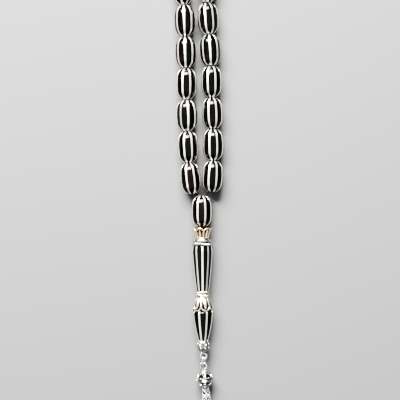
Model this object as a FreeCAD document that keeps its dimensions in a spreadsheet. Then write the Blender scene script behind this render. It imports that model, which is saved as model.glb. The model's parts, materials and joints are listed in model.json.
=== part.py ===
"""Misbaha: prayer beads on one thread, with a separator (imame) and a chain tassel.

The string lies on a flat surface, z = 0. Seen from above (+Z) the loop runs to +Y and the tassel
to -Y. Every piece is built about its own Z axis, which points up the string, and then laid down.
All lengths are millimetres and all angles degrees.
"""
import FreeCAD
import Part
import Sketcher
import math
import os
from FreeCAD import Placement, Rotation, Vector

doc = FreeCAD.newDocument("Misbaha")
OUT = "parts"

SIZES = {
    # barrel bead
    "bead_length": 11.9,
    "bead_radius": 4.0,
    "bead_end_radius": 1.7,
    "bead_shoulder_radius": 3.75,
    "bead_shoulder_drop": 2.65,
    "bead_shoulder_bulge": 0.34,
    "bead_side_bulge": 0.25,
    "bore_radius": 0.7,
    "pair_bore_radius": 1.2,
    "mouth_radius": 1.15,
    "pair_mouth_radius": 1.35,
    "mouth_depth": 0.45,
    # inlaid strips
    "strip_width": 0.78,
    "strip_depth": 0.42,
    "strip_end_depth": 0.15,
    "glue_gap": 0.03,
    # marker disc
    "marker_length": 3.0,
    "marker_radius": 3.8,
    "marker_face_radius": 2.4,
    "marker_bulge": 0.5,
    "hoop_width": 0.8,
    # thread
    "thread_radius": 0.35,
    "strand_offset": 0.6,
    "knot_radius": 1.15,
    "knot_height": 2.4,
    # separator, measured down its axis from the crown's rim
    "crown_length": 4.35,
    "crown_rim_radius": 3.9,
    "crown_base_radius": 2.7,
    "crown_wall": 0.45,
    "crown_flare": 0.28,
    "crown_floor": 1.0,
    "tenon_radius": 1.9,
    "notch_half": 0.8,
    "notch_depth": 1.5,
    "collar_length": 2.7,
    "collar_radius": 4.0,
    "collar_band_radius": 3.85,
    "collar_band_length": 1.0,
    "collar_rope_bulge": 0.45,
    "upper_length": 17.2,
    "upper_top_radius": 3.75,
    "upper_radius": 4.0,
    "upper_shoulder": 2.2,
    "upper_foot_radius": 2.5,
    "upper_side_bulge": 0.12,
    "upper_shoulder_bulge": 0.04,
    "upper_tenon_rise": 2.0,
    "foot_tenon_radius": 1.75,
    "waist_length": 2.3,
    "waist_radius": 2.63,
    "waist_bulge": 0.3,
    "calyx_length": 5.45,
    "calyx_top_radius": 2.4,
    "calyx_rim_radius": 3.9,
    "calyx_floor": 0.9,
    "calyx_flare": 0.35,
    "lower_length": 11.3,
    "lower_radius": 4.0,
    "lower_shoulder": 0.6,
    "lower_foot_radius": 1.95,
    "lower_bulge": 0.28,
    "lower_shoulder_bulge": 0.08,
    "lower_foot_strip_depth": 0.2,
    "counterbore_radius": 1.4,
    "counterbore_depth": 2.9,
    "tip_length": 4.45,
    "tip_radius": 2.72,
    "tip_foot_radius": 1.35,
    "tip_bulge": 0.3,
    "tip_floor": 1.2,
    # findings
    "eye_radius": 1.2,
    "eye_wire": 0.43,
    "shank_radius": 0.4,
    "shank_fit": 0.05,
    "weld": 0.1,
    "head_radius": 0.95,
    "head_length": 0.5,
    "link_wire": 0.4,
    "link_width": 2.5,
    "link_play": 0.18,
    "link_reach": 3.7,
    # tassel, measured down its axis from the centre of its eye
    "ball_radius": 3.3,
    "ball_wall": 0.6,
    "ball_length": 6.2,
    "ball_top": 1.7,
    "ball_end_radius": 1.4,
    "ball_collar_radius": 1.95,
    "ball_collar_length": 0.45,
    "ball_lip": 0.3,
    "ball_hole_radius": 0.6,
    "ball_hole_height": 1.6,
    "cap_gap": 0.15,
    "cap_length": 13.0,
    "cap_top_radius": 1.3,
    "cap_foot_radius": 3.2,
    "cap_wall": 0.5,
    "cap_floor": 1.2,
    "hanger_radius": 1.9,
    "hanger_wire": 0.3,
    "hanger_below_cap": 1.05,
    "spoke_radius": 0.24,
    "hub_radius": 0.65,
    "hub_length": 0.9,
    "chain_wire": 0.25,
    "chain_play": 0.1,
    "chain_width": 1.5,
    "chain_long": 2.7,
    "chain_pitch": 2.1,
    "drop_radius": 1.3,
    "drop_length": 4.8,
    "drop_neck": 0.4,
    "drop_tip_bulge": 0.38,
    "drop_side_bulge": 0.1,
}

BEAD_STRIPS = 8
UPPER_STRIPS = 10
LOWER_STRIPS = 8
PETALS = 6
BALL_HOLES = 6
CHAINS = 5
LINK_PAIRS = 6
CAP_SIDES = 6
FLAT_TO_CORNER = math.cos(math.pi / CAP_SIDES)
# how far a cutting shape runs on past the surface it cuts
CUT_PAST = 1.0


class Size:
    """A length, with the expression over the sheet's cells that gives it."""

    def __init__(self, value, text):
        self.value = value
        self.text = text

    def __add__(self, other):
        other = as_size(other)
        return Size(self.value + other.value, f"({self.text} + {other.text})")

    def __sub__(self, other):
        other = as_size(other)
        return Size(self.value - other.value, f"({self.text} - {other.text})")

    def __mul__(self, other):
        other = as_size(other)
        return Size(self.value * other.value, f"({self.text} * {other.text})")

    def __truediv__(self, other):
        other = as_size(other)
        return Size(self.value / other.value, f"({self.text} / {other.text})")

    def __neg__(self):
        return Size(-self.value, f"(0 - {self.text})")


def as_size(number):
    """A plain number as a Size, and a Size as itself."""
    return number if isinstance(number, Size) else Size(float(number), repr(float(number)))


sheet = doc.addObject("Spreadsheet::Sheet", "Sizes")
S = {}
for row, (alias, number) in enumerate(SIZES.items(), start=1):
    sheet.set(f"A{row}", alias)
    sheet.set(f"B{row}", str(number))
    sheet.setAlias(f"B{row}", alias)
    S[alias] = Size(number, f"Sizes.{alias}")
doc.recompute()


# ---------------------------------------------------------------- helpers
def bind(obj, prop, size):
    """Gives obj's property the size and ties it to the sheet."""
    size = as_size(size)
    setattr(obj, prop, size.value)
    obj.setExpression(prop, size.text)


def origin_feature(body, role):
    return next(f for f in body.Origin.OriginFeatures if f.Role == role)


def new_body(label, compound=False):
    body = doc.addObject("PartDesign::Body", label)
    body.Label = label
    body.AllowCompound = compound
    return body


def sketch_on(body, name, role="XZ_Plane"):
    sketch = body.newObject("Sketcher::SketchObject", name)
    sketch.AttachmentSupport = (origin_feature(body, role), [""])
    sketch.MapMode = "FlatFace"
    return sketch


def pin_point(sketch, geo, end, x, y):
    """Holds one end of an edge at (x, y) from the sketch's origin."""
    for size, kind, axis in ((x, "DistanceX", -2), (y, "DistanceY", -1)):
        if abs(size.value) < 1e-9:
            sketch.addConstraint(Sketcher.Constraint("PointOnObject", geo, end, axis))
        else:
            row = sketch.addConstraint(Sketcher.Constraint(kind, -1, 1, geo, end, size.value))
            sketch.setExpression(f"Constraints[{row}]", size.text)


def outline(body, name, corners, role="XZ_Plane"):
    """A closed sketch through corners (x, y, bulge).

    The side that leaves a corner is straight, or an arc that stands off its chord by bulge: to the
    left of the way round where bulge is positive, to the right where it is negative.
    """
    sketch = sketch_on(body, name, role)
    points = [(as_size(c[0]), as_size(c[1])) for c in corners]
    for i, corner in enumerate(corners):
        (x1, y1), (x2, y2) = points[i], points[(i + 1) % len(points)]
        start, end = Vector(x1.value, y1.value, 0), Vector(x2.value, y2.value, 0)
        bulge = as_size(corner[2]) if len(corner) > 2 else None
        if bulge is None:
            geo = sketch.addGeometry(Part.LineSegment(start, end), False)
            pin_point(sketch, geo, 1, x1, y1)
            first, last = 1, 2
        else:
            chord = end - start
            normal = Vector(-chord.y, chord.x, 0).normalize()
            middle = (start + end) / 2 + normal * bulge.value
            # arcs run counterclockwise in a sketch, so one that bulges left is drawn from its end
            left = bulge.value > 0
            arc = Part.Arc(end, middle, start) if left else Part.Arc(start, middle, end)
            geo = sketch.addGeometry(arc, False)
            first, last = (2, 1) if left else (1, 2)
            pin_point(sketch, geo, first, x1, y1)
            across, along = x2 - x1, y2 - y1
            height = bulge if bulge.value > 0 else -bulge
            radius = (across * across + along * along) / (height * 8) + height / 2
            row = sketch.addConstraint(Sketcher.Constraint("Radius", geo, radius.value))
            sketch.setExpression(f"Constraints[{row}]", radius.text)
        if i:
            sketch.addConstraint(Sketcher.Constraint("Coincident", before[0], before[1], geo, first))
        else:
            opening = (geo, first)
        before = (geo, last)
    sketch.addConstraint(Sketcher.Constraint("Coincident", *before, *opening))
    return sketch


def revolve(body, name, corners):
    """A turned solid: the outline spun about the Z axis."""
    sketch = outline(body, name + "_outline", corners)
    turned = body.newObject("PartDesign::Revolution", name)
    turned.Profile = sketch
    turned.ReferenceAxis = (sketch, ["V_Axis"])
    turned.Angle = 360
    sketch.Visibility = False
    return turned


def milled(body, name, corners, width, kind="PartDesign::Pocket"):
    """A cut, or a pad, of the outline in the XZ plane, as wide as width across that plane."""
    sketch = outline(body, name + "_outline", corners)
    feature = body.newObject(kind, name)
    feature.Profile = sketch
    feature.SideType = "Symmetric"
    bind(feature, "Length", width)
    return feature


def around(body, name, feature, count, angle=360):
    """Repeats a feature of the body around its Z axis."""
    pattern = body.newObject("PartDesign::PolarPattern", name)
    pattern.Originals = [feature]
    pattern.Axis = (origin_feature(body, "Z_Axis"), [""])
    pattern.Angle = angle
    pattern.Occurrences = count
    body.Tip = pattern
    return pattern


def lay(x, y, z, heading, roll=0.0, climb=0.0):
    """Lays a piece down: its Z axis points along heading, turned left from +Y, seen from above.

    roll turns it about its own axis first, and climb lifts its +Z end off the level.
    """
    turn = Rotation(Vector(0, 0, 1), heading)
    turn = turn * Rotation(Vector(1, 0, 0), climb - 90) * Rotation(Vector(0, 0, 1), roll)
    return Placement(Vector(x, y, z), turn)


def shifted(path, by):
    """The path moved outwards by a size."""
    return [(as_size(c[0]) + by, *c[1:]) for c in path]


def backwards(path):
    """The same path from its last corner to its first."""
    bulges = [None] + [c[2] if len(c) > 2 else None for c in path[:-1]]
    turned = []
    for corner, bulge in reversed(list(zip(path, bulges))):
        turned.append(corner[:2] if bulge is None else (*corner[:2], -as_size(bulge)))
    return turned


def inlaid(name, turned, groove_floor, surface, count):
    """A turned black core with lengthwise grooves, and the strips that fill them.

    groove_floor and surface are paths from foot to head, on the groove's bottom and on the skin.
    """
    core = new_body(name + "_core")
    revolve(core, name + "_turned", turned)
    low, high = groove_floor[0][1], groove_floor[-1][1]
    beyond = S["bead_radius"] + CUT_PAST
    cut = milled(core, name + "_groove", groove_floor + [(beyond, high), (beyond, low)],
                 S["strip_width"])
    around(core, name + "_grooves", cut, count)
    strips = new_body(name + "_strips", compound=True)
    bed = shifted(groove_floor, S["glue_gap"])
    strip = milled(strips, name + "_strip", surface + backwards(bed),
                   S["strip_width"] - S["glue_gap"] * 2, "PartDesign::Pad")
    around(strips, name + "_strip_ring", strip, count)
    return core, strips


def gather(label, members, placement):
    """One node of several separate solids, laid in its place."""
    group = doc.addObject("Part::Compound", label)
    group.Label = label
    group.Links = members
    group.Placement = placement
    nodes.append(group)
    return group


def place(body, placement):
    """One node of one solid, laid in its place."""
    body.Placement = placement
    nodes.append(body)
    return body


def primitive(kind, name, placement=None, **sizes):
    """A Part primitive with its sizes tied to the sheet."""
    solid = doc.addObject(kind, name)
    for prop, size in sizes.items():
        bind(solid, prop, size)
    if placement:
        solid.Placement = placement
    return solid


def fused(label, members):
    joined = doc.addObject("Part::MultiFuse", label)
    joined.Label = label
    joined.Shapes = members
    joined.Refine = True
    return joined


nodes = []
UP = Vector(0, 0, 1)
EYE_TURN = Rotation(Vector(1, 0, 0), 90)


# ---------------------------------------------------------------- barrel beads
half = S["bead_length"] / 2
shoulder = half - S["bead_shoulder_drop"]
skin = [
    (S["bead_end_radius"], -half, -S["bead_shoulder_bulge"]),
    (S["bead_shoulder_radius"], -shoulder, -S["bead_side_bulge"]),
    (S["bead_shoulder_radius"], shoulder, -S["bead_shoulder_bulge"]),
    (S["bead_end_radius"], half),
]
bed_end = S["bead_end_radius"] - S["strip_end_depth"]
bed_side = S["bead_shoulder_radius"] - S["strip_depth"]
groove = [
    (bed_end, -half, -S["bead_shoulder_bulge"]),
    (bed_side, -shoulder, -S["bead_side_bulge"]),
    (bed_side, shoulder, -S["bead_shoulder_bulge"]),
    (bed_end, half),
]


def bored(path, bore, mouth):
    """A turned outline: the skin, with a bore that opens into a mouth at both ends."""
    low, high = path[0][1], path[-1][1]
    inside = [
        (mouth, high),
        (bore, high - S["mouth_depth"]),
        (bore, low + S["mouth_depth"]),
        (mouth, low),
    ]
    return path + inside


bead = inlaid("bead", bored(skin, S["bore_radius"], S["mouth_radius"]), groove, skin, BEAD_STRIPS)
neck = inlaid("neck", bored(skin, S["pair_bore_radius"], S["pair_mouth_radius"]), groove, skin,
              BEAD_STRIPS)

# marker disc: a thin turned bead with one hoop let in round its rim
rim = S["marker_length"] / 2
hoop = S["hoop_width"] / 2
marker_core = new_body("marker_core")
revolve(marker_core, "marker_turned", bored([
    (S["marker_face_radius"], -rim, -S["marker_bulge"] / 2),
    (S["marker_radius"], -hoop),
    (S["marker_radius"] - S["strip_depth"], -hoop),
    (S["marker_radius"] - S["strip_depth"], hoop),
    (S["marker_radius"], hoop, -S["marker_bulge"] / 2),
    (S["marker_face_radius"], rim),
], S["bore_radius"], S["mouth_radius"]))
marker_hoop = new_body("marker_hoop")
hoop_low = S["marker_radius"] - S["strip_depth"] + S["glue_gap"]
hoop_half = hoop - S["glue_gap"]
revolve(marker_hoop, "hoop_turned", [
    (hoop_low, -hoop_half),
    (S["marker_radius"], -hoop_half),
    (S["marker_radius"], hoop_half),
    (hoop_low, hoop_half),
])

# ---------------------------------------------------------------- separator
gap = S["glue_gap"]
crown_foot = -S["crown_length"]
collar_foot = crown_foot - S["collar_length"]
upper_head = collar_foot - gap
upper_foot = upper_head - S["upper_length"]
waist_foot = upper_foot - S["waist_length"]
calyx_foot = waist_foot - S["calyx_length"]
lower_foot = calyx_foot - S["lower_length"]
tip_foot = lower_foot - S["tip_length"]
tenon = S["tenon_radius"]
socket = tenon + gap


def petal_notches(body, name, rim_height, upward):
    """Cuts V notches into a cup's rim, so that petals stand between them."""
    sign = 1 if upward else -1
    cut = milled(body, name, [
        (-S["notch_half"], rim_height + CUT_PAST * sign),
        (0, rim_height - S["notch_depth"] * sign),
        (S["notch_half"], rim_height + CUT_PAST * sign),
    ], S["bead_radius"] * 3)
    around(body, name + "_ring", cut, PETALS // 2, 180)


imame_crown = new_body("imame_crown")
revolve(imame_crown, "crown_turned", [
    (socket, crown_foot),
    (S["crown_base_radius"], crown_foot, S["crown_flare"]),
    (S["crown_rim_radius"], 0),
    (S["crown_rim_radius"] - S["crown_wall"], 0, -S["crown_flare"]),
    (S["crown_base_radius"] - S["crown_wall"], crown_foot + S["crown_floor"]),
    (socket, crown_foot + S["crown_floor"]),
])
petal_notches(imame_crown, "crown_notch", Size(0, "0"), True)

imame_collar = new_body("imame_collar_ring")
band_foot = crown_foot - S["collar_band_length"]
rope_edge = S["collar_radius"] - S["collar_rope_bulge"]
revolve(imame_collar, "collar_turned", [
    (socket, crown_foot - gap),
    (socket, collar_foot),
    (rope_edge, collar_foot, -S["collar_rope_bulge"]),
    (rope_edge, band_foot),
    (S["collar_band_radius"], band_foot),
    (S["collar_band_radius"], crown_foot - gap),
])

upper_swell = upper_head - S["upper_shoulder"]
upper_skin = [
    (S["upper_foot_radius"], upper_foot, -S["upper_side_bulge"]),
    (S["upper_radius"], upper_swell, -S["upper_shoulder_bulge"]),
    (S["upper_top_radius"], upper_head),
]
upper_groove = shifted(upper_skin, -S["strip_depth"])
foot_tenon = S["foot_tenon_radius"]
pair_bore = S["pair_bore_radius"]
upper = inlaid("upper", upper_skin + [
    (tenon, upper_head),
    (tenon, crown_foot + S["upper_tenon_rise"]),
    (pair_bore, crown_foot + S["upper_tenon_rise"]),
    (pair_bore, waist_foot + gap),
    (foot_tenon, waist_foot + gap),
    (foot_tenon, upper_foot),
], upper_groove, upper_skin, UPPER_STRIPS)

imame_waist = new_body("imame_waist_ring")
row = (S["waist_length"] - gap) / 2
waist_edge = S["waist_radius"] - S["waist_bulge"]
revolve(imame_waist, "waist_turned", [
    (foot_tenon + gap, upper_foot - gap),
    (foot_tenon + gap, waist_foot),
    (waist_edge, waist_foot, -S["waist_bulge"]),
    (waist_edge, waist_foot + row, -S["waist_bulge"]),
    (waist_edge, upper_foot - gap),
])

imame_calyx = new_body("imame_calyx")
calyx_head = waist_foot - gap
calyx_floor = calyx_head - S["calyx_floor"]
calyx_inner = S["calyx_rim_radius"] - S["crown_wall"]
calyx_throat = S["calyx_top_radius"] - S["crown_wall"]
revolve(imame_calyx, "calyx_turned", [
    (pair_bore, calyx_head),
    (pair_bore, calyx_floor),
    (calyx_throat, calyx_floor, S["calyx_flare"]),
    (calyx_inner, calyx_foot),
    (S["calyx_rim_radius"], calyx_foot, -S["calyx_flare"]),
    (S["calyx_top_radius"], calyx_head),
])
petal_notches(imame_calyx, "calyx_notch", calyx_foot, False)

lower_head = calyx_foot - gap
lower_swell = lower_head - S["lower_shoulder"]
lower_skin = [
    (S["lower_foot_radius"], lower_foot, -S["lower_bulge"]),
    (S["lower_radius"], lower_swell, -S["lower_shoulder_bulge"]),
    (calyx_inner, lower_head),
]
lower_bed = S["lower_radius"] - S["strip_depth"]
lower_groove = [
    (S["lower_foot_radius"] - S["lower_foot_strip_depth"], lower_foot, -S["lower_bulge"]),
    (lower_bed, lower_swell),
    (lower_bed, lower_head),
]
lower_surface = lower_skin[:-1] + [(lower_bed + S["strip_depth"] / 2, lower_head)]
lower = inlaid("lower", lower_skin + [
    (calyx_inner - gap, lower_head, -S["calyx_flare"]),
    (calyx_throat - gap, calyx_floor - gap),
    (pair_bore, calyx_floor - gap),
    (pair_bore, lower_foot + S["counterbore_depth"]),
    (S["counterbore_radius"], lower_foot + S["counterbore_depth"]),
    (S["counterbore_radius"], lower_foot),
], lower_groove, lower_surface, LOWER_STRIPS)

imame_tip = new_body("imame_tip_ball")
shank_hole = S["shank_radius"] + S["shank_fit"]
tip_head = lower_foot - gap
tip_floor = tip_foot + S["tip_floor"]
tip_waist = (tip_head + tip_foot) / 2
revolve(imame_tip, "tip_turned", [
    (shank_hole, tip_foot),
    (S["tip_foot_radius"], tip_foot, -S["tip_bulge"]),
    (S["tip_radius"], tip_waist, -S["tip_bulge"]),
    (S["lower_foot_radius"], tip_head),
    (S["counterbore_radius"], tip_head),
    (S["counterbore_radius"], tip_floor),
    (shank_hole, tip_floor),
])

# ---------------------------------------------------------------- findings
def eye_turned(name, height, radius, wire):
    """A ring in the XZ plane, its centre at height on the Z axis."""
    return primitive("Part::Torus", name, Placement(Vector(0, 0, as_size(height).value), EYE_TURN),
                     Radius1=radius, Radius2=wire)


def rod(name, low, high, radius):
    low, high = as_size(low), as_size(high)
    return primitive("Part::Cylinder", name, Placement(Vector(0, 0, low.value), Rotation()),
                     Radius=radius, Height=high - low)


def chain_link(body, name, role, long, width, wire, drop=0.0):
    """An oval ring swept round a slot-shaped path that is centred drop below the origin."""
    path = sketch_on(body, name + "_path", role)
    bend, reach = width / 2, (long - width) / 2
    sides = []
    for sign in (1, -1):
        low = Vector(sign * bend.value, -reach.value - drop, 0)
        high = Vector(sign * bend.value, reach.value - drop, 0)
        sides.append(path.addGeometry(Part.LineSegment(low, high), False))
    ends = []
    for sign in (1, -1):
        centre = Vector(0, sign * reach.value - drop, 0)
        circle = Part.Circle(centre, Vector(0, 0, 1), bend.value)
        start = 0 if sign > 0 else math.pi
        ends.append(path.addGeometry(Part.ArcOfCircle(circle, start, start + math.pi), False))
    joins = ((ends[0], 1, sides[0], 2), (ends[0], 2, sides[1], 2),
             (ends[1], 1, sides[1], 1), (ends[1], 2, sides[0], 1))
    for join in joins:
        path.addConstraint(Sketcher.Constraint("Tangent", *join))
    for end, sign in zip(ends, (1, -1)):
        path.addConstraint(Sketcher.Constraint("PointOnObject", end, 3, -2))
        level = reach * sign - drop
        row = path.addConstraint(Sketcher.Constraint("DistanceY", -1, 1, end, 3, level.value))
        path.setExpression(f"Constraints[{row}]", level.text)
    row = path.addConstraint(Sketcher.Constraint("Radius", ends[0], bend.value))
    path.setExpression(f"Constraints[{row}]", bend.text)
    section = sketch_on(body, name + "_section", "XY_Plane")
    section.AttachmentOffset = Placement(Vector(0, 0, -drop), Rotation())
    spot = (bend, Size(0, "0")) if role == "XZ_Plane" else (Size(0, "0"), bend)
    ring = section.addGeometry(Part.Circle(Vector(spot[0].value, spot[1].value, 0),
                                           Vector(0, 0, 1), wire.value), False)
    pin_point(section, ring, 3, *spot)
    row = section.addConstraint(Sketcher.Constraint("Radius", ring, wire.value))
    section.setExpression(f"Constraints[{row}]", wire.text)
    doc.recompute()
    pipe = body.newObject("PartDesign::AdditivePipe", name)
    pipe.Profile = section
    pipe.Spine = (path, [f"Edge{i + 1}" for i in range(path.GeometryCount)])
    return pipe


eye_foot = -S["eye_radius"] - S["eye_wire"]
tip_eye_centre = tip_foot + eye_foot - S["shank_fit"]
tip_eye_pin = fused("tip_eye_pin", [
    eye_turned("tip_eye", tip_eye_centre, S["eye_radius"], S["eye_wire"]),
    rod("tip_shank", tip_eye_centre + S["eye_radius"], tip_floor + S["shank_fit"] + S["weld"],
        S["shank_radius"]),
    rod("tip_head", tip_floor + S["shank_fit"], tip_floor + S["shank_fit"] + S["head_length"],
        S["head_radius"]),
])

tassel_link = new_body("tassel_link")
chain_link(tassel_link, "tassel_link_ring", "XZ_Plane", S["link_reach"], S["link_width"],
           S["link_wire"])

# ---------------------------------------------------------------- tassel
ball_head = -S["ball_top"]
ball_foot = ball_head - S["ball_length"]
ball_middle = (ball_head - S["ball_collar_length"] + ball_foot) / 2
cap_head = ball_foot - S["cap_gap"]
cap_foot = cap_head - S["cap_length"]
hanger_height = cap_foot - S["hanger_below_cap"]
hub_half = S["hub_length"] / 2

tassel_ball = new_body("tassel_ball")
collar_edge = ball_head - S["ball_collar_length"]
ball_swell = S["ball_radius"] - S["ball_end_radius"]
ball_inner_end = S["ball_end_radius"] - S["ball_lip"]
revolve(tassel_ball, "ball_turned", [
    (shank_hole, ball_head),
    (shank_hole, collar_edge - S["ball_wall"]),
    (ball_inner_end, collar_edge - S["ball_wall"], ball_swell - S["ball_wall"] / 2),
    (ball_inner_end, ball_foot + S["ball_wall"]),
    (shank_hole, ball_foot + S["ball_wall"]),
    (shank_hole, ball_foot),
    (S["ball_end_radius"], ball_foot, -ball_swell),
    (S["ball_end_radius"], collar_edge),
    (S["ball_collar_radius"], collar_edge),
    (S["ball_collar_radius"], ball_head),
])
for title, level in (("upper", S["ball_hole_height"]), ("lower", -S["ball_hole_height"])):
    piercing = sketch_on(tassel_ball, f"ball_{title}_hole")
    centre = ball_middle + level
    circle = Part.Circle(Vector(0, centre.value, 0), Vector(0, 0, 1), S["ball_hole_radius"].value)
    round_hole = piercing.addGeometry(circle, False)
    pin_point(piercing, round_hole, 3, Size(0, "0"), centre)
    cell = piercing.addConstraint(Sketcher.Constraint("Radius", round_hole, circle.Radius))
    piercing.setExpression(f"Constraints[{cell}]", S["ball_hole_radius"].text)
    drill = tassel_ball.newObject("PartDesign::Pocket", f"ball_{title}_drill")
    drill.Profile = piercing
    drill.SideType = "Symmetric"
    bind(drill, "Length", S["ball_radius"] * 3)
    around(tassel_ball, f"ball_{title}_holes", drill, BALL_HOLES // 2, 180)


def hexagon(body, name, height, radius):
    """A regular polygon across the Z axis at height, one corner on -Y."""
    sketch = sketch_on(body, name, "XY_Plane")
    sketch.AttachmentOffset = Placement(Vector(0, 0, height.value), Rotation())
    sketch.setExpression("AttachmentOffset.Base.z", height.text)
    spots = []
    for side in range(CAP_SIDES):
        angle = math.radians(side * 360 / CAP_SIDES - 90)
        spots.append((radius * math.cos(angle), radius * math.sin(angle)))
    for side, (x, y) in enumerate(spots):
        x2, y2 = spots[(side + 1) % CAP_SIDES]
        geo = sketch.addGeometry(Part.LineSegment(Vector(x.value, y.value, 0),
                                                  Vector(x2.value, y2.value, 0)), False)
        pin_point(sketch, geo, 1, x, y)
        if side:
            sketch.addConstraint(Sketcher.Constraint("Coincident", geo - 1, 2, geo, 1))
    sketch.addConstraint(Sketcher.Constraint("Coincident", CAP_SIDES - 1, 2, 0, 1))
    return sketch


tassel_cap = new_body("tassel_cap")
cone = tassel_cap.newObject("PartDesign::AdditiveLoft", "cap_cone")
cone.Profile = hexagon(tassel_cap, "cap_top_edge", cap_head, S["cap_top_radius"])
cone.Sections = [hexagon(tassel_cap, "cap_foot_edge", cap_foot, S["cap_foot_radius"])]
cap_hollow = tassel_cap.newObject("PartDesign::Groove", "cap_hollow")
cap_hollow.Profile = outline(tassel_cap, "cap_hollow_outline", [
    (0, cap_head + CUT_PAST),
    (shank_hole, cap_head + CUT_PAST),
    (shank_hole, cap_head - S["cap_floor"]),
    (S["cap_top_radius"] - S["cap_wall"], cap_head - S["cap_floor"]),
    (S["cap_foot_radius"] * FLAT_TO_CORNER - S["cap_wall"], cap_foot - CUT_PAST),
    (0, cap_foot - CUT_PAST),
])
cap_hollow.ReferenceAxis = (origin_feature(tassel_cap, "Z_Axis"), [""])
cap_hollow.Angle = 360

tassel_pin = fused("tassel_eye_pin", [
    eye_turned("tassel_eye", 0, S["eye_radius"], S["eye_wire"]),
    rod("tassel_shank", hanger_height - hub_half - S["weld"], -S["eye_radius"], S["shank_radius"]),
    rod("tassel_head", hanger_height - hub_half - gap - S["head_length"],
        hanger_height - hub_half - gap, S["head_radius"] / 2),
])

spokes = []
for arm in range(CHAINS):
    angle = math.radians(arm * 360 / CHAINS - 90 + 180 / CHAINS)
    outward = Vector(math.cos(angle), math.sin(angle), 0)
    root = outward * (S["hub_radius"] - S["weld"]).value + Vector(0, 0, hanger_height.value)
    spokes.append(primitive("Part::Cylinder", f"hanger_spoke_{arm + 1}",
                            Placement(root, Rotation(UP, outward)),
                            Radius=S["spoke_radius"],
                            Height=S["hanger_radius"] - S["hub_radius"] + S["weld"]))
wheel = fused("hanger_wheel", spokes + [
    primitive("Part::Torus", "hanger_ring", Placement(Vector(0, 0, hanger_height.value), Rotation()),
              Radius1=S["hanger_radius"], Radius2=S["hanger_wire"]),
    rod("hanger_hub", hanger_height - hub_half, hanger_height + hub_half, S["hub_radius"]),
])
chain_hanger = doc.addObject("Part::Cut", "chain_hanger")
chain_hanger.Label = "chain_hanger"
chain_hanger.Base = wheel
chain_hanger.Tool = rod("hanger_bore", hanger_height - hub_half - CUT_PAST,
                        hanger_height + hub_half + CUT_PAST,
                        S["shank_radius"] + gap)

# a chain hangs down -Z from the hanger's wire, which passes through the origin
first_end = S["hanger_wire"] + S["chain_play"] + S["chain_wire"]
first_drop = S["chain_long"] / 2 - first_end
chain_across = new_body("chain_across", compound=True)
chain_along = new_body("chain_along", compound=True)
for body, role, lag in ((chain_across, "XZ_Plane", 0), (chain_along, "YZ_Plane", 1)):
    drop = first_drop.value + lag * S["chain_pitch"].value
    ring = chain_link(body, body.Label + "_link", role, S["chain_long"], S["chain_width"],
                      S["chain_wire"], drop)
    row_of = body.newObject("PartDesign::LinearPattern", body.Label + "_row")
    row_of.Originals = [ring]
    row_of.Direction = (origin_feature(body, "Z_Axis"), [""])
    row_of.Reversed = True
    row_of.Mode = "Spacing"
    bind(row_of, "Offset", S["chain_pitch"] * 2)
    row_of.Occurrences = LINK_PAIRS
    body.Tip = row_of

drop_eye = first_end - S["chain_pitch"] * (2 * LINK_PAIRS) - S["chain_width"] / 2
drop_head = drop_eye - S["chain_width"] / 2 - S["chain_wire"] / 2
drop_foot = drop_head - S["drop_length"]
drop_swell = drop_foot + S["drop_radius"]
drop_bead = new_body("drop_bead")
revolve(drop_bead, "drop_turned", [
    (0, drop_foot, -S["drop_tip_bulge"]),
    (S["drop_radius"], drop_swell, -S["drop_side_bulge"]),
    (S["drop_neck"], drop_head),
    (0, drop_head),
])
drop = fused("tassel_drop", [
    drop_bead,
    eye_turned("drop_ring", drop_eye, S["chain_width"] / 2, S["chain_wire"]),
])

# ---------------------------------------------------------------- the string laid out
# the point between the two strands at the neck bead, placed so that the whole string's box is
# centred on the origin; the places of the separator and the strands are counted from it
NECK = Vector(5.054, -45.317, 4.016)
IMAME_TOP = NECK + Vector(0.06, -6.8, 0)
IMAME_HEADING = 0.66
NECK_HEIGHT = 6.5
TASSEL_HEADING = 5.0
TASSEL_Z = 3.4
# how far each piece is turned about its own axis, right of the top
NECK_ROLL = -25.0
CROWN_ROLL = 12.0
UPPER_ROLL = 18.0
CALYX_ROLL = -12.0
LOWER_ROLL = 22.5
LINK_ROLL = 72.0
BALL_ROLL = 30.0
# headings of the stretches from the neck up each side, in degrees left of +Y
LEFT_HEADINGS = [6.4, 2.5, 1.5, 0.5, 1.5, 2, 8, 17, 24, 25, 25, 25, 23, 12, -6, -28, -51]
RIGHT_HEADINGS = [-3, 1, 2, 1, 3.5, 4.5, -2, -14, -22, -24, -15, -15, -15, -15, 9, 34, 60]
MARKER_AFTER = 11
SLACK = 16.0
LEFT_START = NECK + Vector(-3.72, 6.1, 0)
RIGHT_START = NECK + Vector(3.8, 6.9, 0)
START_ROOM = 0.35
CLOSING_ROOM = 0.55
LEAST_ROOM = 0.15
END_PLAY = 0.08
# angle of the strip nearest the top of each bead, right of the top
PHASES = {1: -22, 2: -22, 3: 8, 4: -22, 5: -4, 6: -4, 28: -16, 29: -1, 30: -22, 31: -22,
          32: -22, 33: -22}
PHASE_STEP = 17
STRIP_PITCH = 360 // BEAD_STRIPS
# heights above the crown's rim at which the strands turn out to the two sides
LEFT_EXIT = 12.9
RIGHT_EXIT = 13.1
# the thread folds with a radius of TIGHT_FOLD at a turn sharper than SHARP_TURN degrees; at a
# gentler turn it starts to bend BEND_REACH, or BEND_SHARE of the shorter run, before the corner
TIGHT_FOLD = 0.75
SHARP_TURN = 57.0
BEND_REACH = 3.0
BEND_SHARE = 0.45
NO_TURN = 0.05


def along(heading, distance):
    """The step of that length towards a heading."""
    turn = math.radians(heading)
    return Vector(-math.sin(turn) * distance, math.cos(turn) * distance, 0)


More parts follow.
